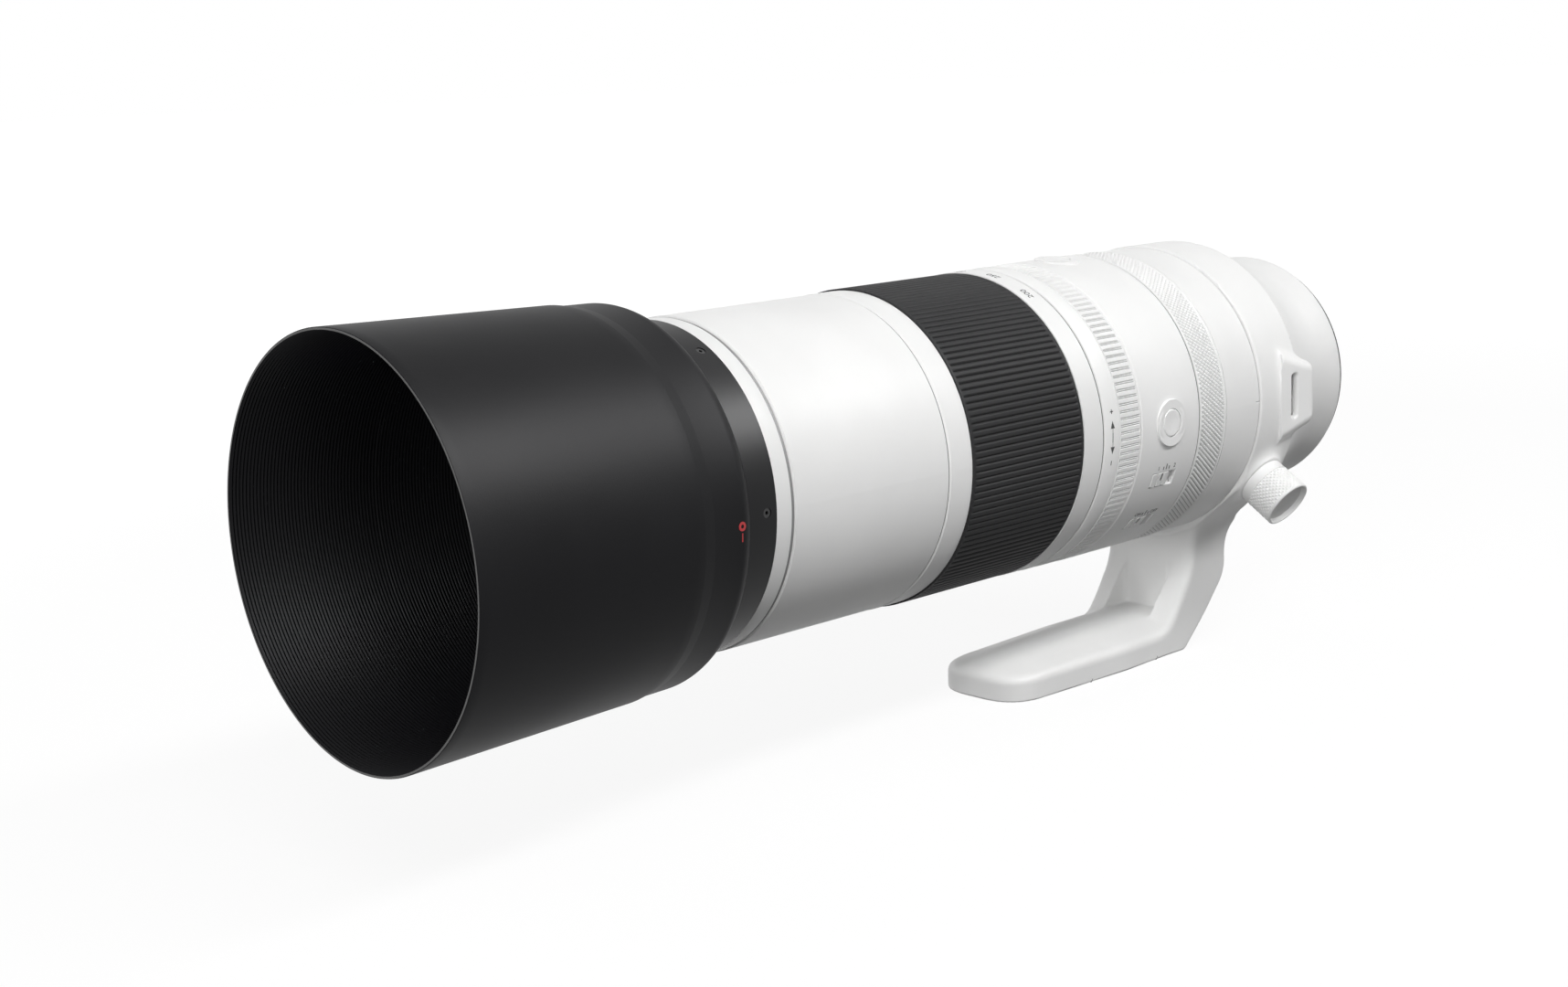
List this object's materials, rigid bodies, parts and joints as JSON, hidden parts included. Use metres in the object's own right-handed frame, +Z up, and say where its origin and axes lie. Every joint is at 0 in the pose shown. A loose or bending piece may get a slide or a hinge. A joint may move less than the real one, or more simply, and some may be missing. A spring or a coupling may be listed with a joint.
{
  "type": "camera zoom lens",
  "caption": "Extending telephoto zoom lens with bayonet mount, ribbed zoom ring, switches, rotating tripod collar with foot and a black flared lens hood.",
  "frame": {"origin": "centre of the camera flange face, on the optical axis", "axes": "+Y along the optical axis towards the camera, so the front is at -Y; +Z up, away from the tripod foot; +X towards the side with the switches and the knob"},
  "size_m": [0.1199, 0.406, 0.1533],
  "materials": {
    "white_paint": "satin off-white paint",
    "white_plastic": "satin",
    "black_paint": "satin black paint",
    "hood_black": "fine matte grain",
    "black_plastic": "matte",
    "black_anodised": "black anodised",
    "bare_aluminium": "turned",
    "mount_chrome": "satin chromed brass",
    "steel": "machined",
    "iris_steel": "blackened sheet",
    "brass": "turned",
    "gold_contacts": "gold plated",
    "rubber": "matte",
    "board": "lacquered board",
    "coated_glass": "polished, coated"
  },
  "bodies": {
    "barrel": {"mount_ring": "mount_chrome", "mount_screws": "steel", "mount_skirt": "rubber", "contact_block": "black_plastic", "contact_pins": "gold_contacts", "circuit_board": "board", "rear_barrel": "white_paint", "rear_lens_cell": "black_anodised", "rear_lens": "coated_glass", "index_barrel": "white_paint", "function_barrel": "white_paint", "fixed_tube": "black_anodised", "main_barrel": "white_paint", "guide_tube": "black_anodised", "iris_housing": "black_anodised", "stabiliser_housing": "black_anodised", "focus_rods": "steel", "focus_motor": "steel"},
    "zoom": {"zoom_ring": "white_paint", "zoom_grip": "rubber", "zoom_keys": "brass", "cam_tube": "bare_aluminium"},
    "front": {"front_tube": "white_paint", "front_band": "white_paint", "front_ring": "black_paint", "front_set_screws": "steel", "front_lens": "coated_glass", "front_retainer": "black_paint", "second_lens": "coated_glass", "front_followers": "brass"},
    "variator": {"variator_cell": "black_anodised", "variator_lens": "coated_glass"},
    "iris_drive": {"iris_ring": "bare_aluminium"},
    "blade_1": {"iris_blade_1": "iris_steel"},
    "blade_2": {"iris_blade_2": "iris_steel"},
    "blade_3": {"iris_blade_3": "iris_steel"},
    "blade_4": {"iris_blade_4": "iris_steel"},
    "blade_5": {"iris_blade_5": "iris_steel"},
    "blade_6": {"iris_blade_6": "iris_steel"},
    "blade_7": {"iris_blade_7": "iris_steel"},
    "blade_8": {"iris_blade_8": "iris_steel"},
    "blade_9": {"iris_blade_9": "iris_steel"},
    "stabiliser_x": {"stabiliser_frame": "bare_aluminium"},
    "stabiliser_z": {"stabiliser_cell": "black_plastic", "stabiliser_lens": "coated_glass"},
    "focus": {"focus_cell": "black_plastic", "focus_lens": "coated_glass"},
    "tension": {"tension_ring": "white_paint"},
    "control": {"control_ring": "white_paint"},
    "collar": {"tripod_collar": "white_paint", "collar_liner": "black_plastic", "tripod_bushes": "steel", "foot_pad": "rubber"},
    "knob": {"lock_knob": "white_paint", "lock_screw": "steel"},
    "side_button": {"side_button": "white_plastic"},
    "top_button": {"top_button": "white_plastic"},
    "focus_switch": {"focus_switch": "white_plastic"},
    "stabiliser_switch": {"stabiliser_switch": "white_plastic"},
    "hood": {"lens_hood": "hood_black"}
  },
  "joints": [
    {"name": "zoom_turn", "type": "hinge", "parent": "barrel", "child": "zoom", "pos_m": [0, -0.185, 0], "axis": [0, -1, 0], "range_deg": [0, 100]},
    {"name": "front_slide", "type": "slide", "parent": "barrel", "child": "front", "axis": [0, -1, 0], "range_m": [0, 0.1]},
    {"name": "variator_slide", "type": "slide", "parent": "barrel", "child": "variator", "axis": [0, -1, 0], "range_m": [0, 0.04]},
    {"name": "iris_turn", "type": "hinge", "parent": "barrel", "child": "iris_drive", "pos_m": [0, -0.138, 0], "axis": [0, -1, 0], "range_deg": [0, 10]},
    {"name": "blade_1_pivot", "type": "hinge", "parent": "barrel", "child": "blade_1", "pos_m": [0.0352, -0.133, 0], "axis": [0, -1, 0], "range_deg": [0, 30]},
    {"name": "blade_2_pivot", "type": "hinge", "parent": "barrel", "child": "blade_2", "pos_m": [0.02696, -0.133, 0.02263], "axis": [0, -1, 0], "range_deg": [0, 30]},
    {"name": "blade_3_pivot", "type": "hinge", "parent": "barrel", "child": "blade_3", "pos_m": [0.00611, -0.133, 0.03467], "axis": [0, -1, 0], "range_deg": [0, 30]},
    {"name": "blade_4_pivot", "type": "hinge", "parent": "barrel", "child": "blade_4", "pos_m": [-0.0176, -0.133, 0.03048], "axis": [0, -1, 0], "range_deg": [0, 30]},
    {"name": "blade_5_pivot", "type": "hinge", "parent": "barrel", "child": "blade_5", "pos_m": [-0.03308, -0.133, 0.01204], "axis": [0, -1, 0], "range_deg": [0, 30]},
    {"name": "blade_6_pivot", "type": "hinge", "parent": "barrel", "child": "blade_6", "pos_m": [-0.03308, -0.133, -0.01204], "axis": [0, -1, 0], "range_deg": [0, 30]},
    {"name": "blade_7_pivot", "type": "hinge", "parent": "barrel", "child": "blade_7", "pos_m": [-0.0176, -0.133, -0.03048], "axis": [0, -1, 0], "range_deg": [0, 30]},
    {"name": "blade_8_pivot", "type": "hinge", "parent": "barrel", "child": "blade_8", "pos_m": [0.00611, -0.133, -0.03467], "axis": [0, -1, 0], "range_deg": [0, 30]},
    {"name": "blade_9_pivot", "type": "hinge", "parent": "barrel", "child": "blade_9", "pos_m": [0.02696, -0.133, -0.02263], "axis": [0, -1, 0], "range_deg": [0, 30]},
    {"name": "stabiliser_sideways", "type": "slide", "parent": "barrel", "child": "stabiliser_x", "axis": [1, 0, 0], "range_m": [-0.0005, 0.0005], "stiffness_N_per_m": 2000},
    {"name": "stabiliser_upwards", "type": "slide", "parent": "stabiliser_x", "child": "stabiliser_z", "axis": [0, 0, 1], "range_m": [-0.0005, 0.0005], "stiffness_N_per_m": 4000},
    {"name": "focus_slide", "type": "slide", "parent": "barrel", "child": "focus", "axis": [0, -1, 0], "range_m": [-0.008, 0.008]},
    {"name": "tension_turn", "type": "hinge", "parent": "barrel", "child": "tension", "pos_m": [0, -0.142, 0], "axis": [0, -1, 0], "range_deg": [-10, 10]},
    {"name": "control_turn", "type": "hinge", "parent": "barrel", "child": "control", "pos_m": [0, -0.0934, 0], "axis": [0, -1, 0], "continuous": true},
    {"name": "collar_turn", "type": "hinge", "parent": "barrel", "child": "collar", "pos_m": [0, -0.055, 0], "axis": [0, -1, 0], "continuous": true},
    {"name": "knob_turn", "type": "hinge", "parent": "collar", "child": "knob", "pos_m": [0, -0.0556, 0], "axis": [0.832, 0, -0.5548], "range_deg": [0, 180]},
    {"name": "side_button_press", "type": "slide", "parent": "barrel", "child": "side_button", "axis": [-1, 0, 0], "range_m": [0, 0.0006], "stiffness_N_per_m": 800},
    {"name": "top_button_press", "type": "slide", "parent": "barrel", "child": "top_button", "axis": [-0.0698, 0, -0.9976], "range_m": [0, 0.0006], "stiffness_N_per_m": 800},
    {"name": "focus_switch_slide", "type": "slide", "parent": "barrel", "child": "focus_switch", "axis": [0, -1, 0], "range_m": [-0.003, 0]},
    {"name": "stabiliser_switch_slide", "type": "slide", "parent": "barrel", "child": "stabiliser_switch", "axis": [0, -1, 0], "range_m": [-0.003, 0]},
    {"name": "hood_turn", "type": "hinge", "parent": "front", "child": "hood", "pos_m": [0, -0.31, 0], "axis": [0, -1, 0], "range_deg": [0, 45]}
  ],
  "couplings": [
    {"joint": "front_slide", "follows": "zoom_turn", "m_per_rad": 0.057296},
    {"joint": "variator_slide", "follows": "zoom_turn", "m_per_rad": 0.022918},
    {"joint": "blade_1_pivot", "follows": "iris_turn", "ratio": 3},
    {"joint": "blade_2_pivot", "follows": "iris_turn", "ratio": 3},
    {"joint": "blade_3_pivot", "follows": "iris_turn", "ratio": 3},
    {"joint": "blade_4_pivot", "follows": "iris_turn", "ratio": 3},
    {"joint": "blade_5_pivot", "follows": "iris_turn", "ratio": 3},
    {"joint": "blade_6_pivot", "follows": "iris_turn", "ratio": 3},
    {"joint": "blade_7_pivot", "follows": "iris_turn", "ratio": 3},
    {"joint": "blade_8_pivot", "follows": "iris_turn", "ratio": 3},
    {"joint": "blade_9_pivot", "follows": "iris_turn", "ratio": 3}
  ]
}
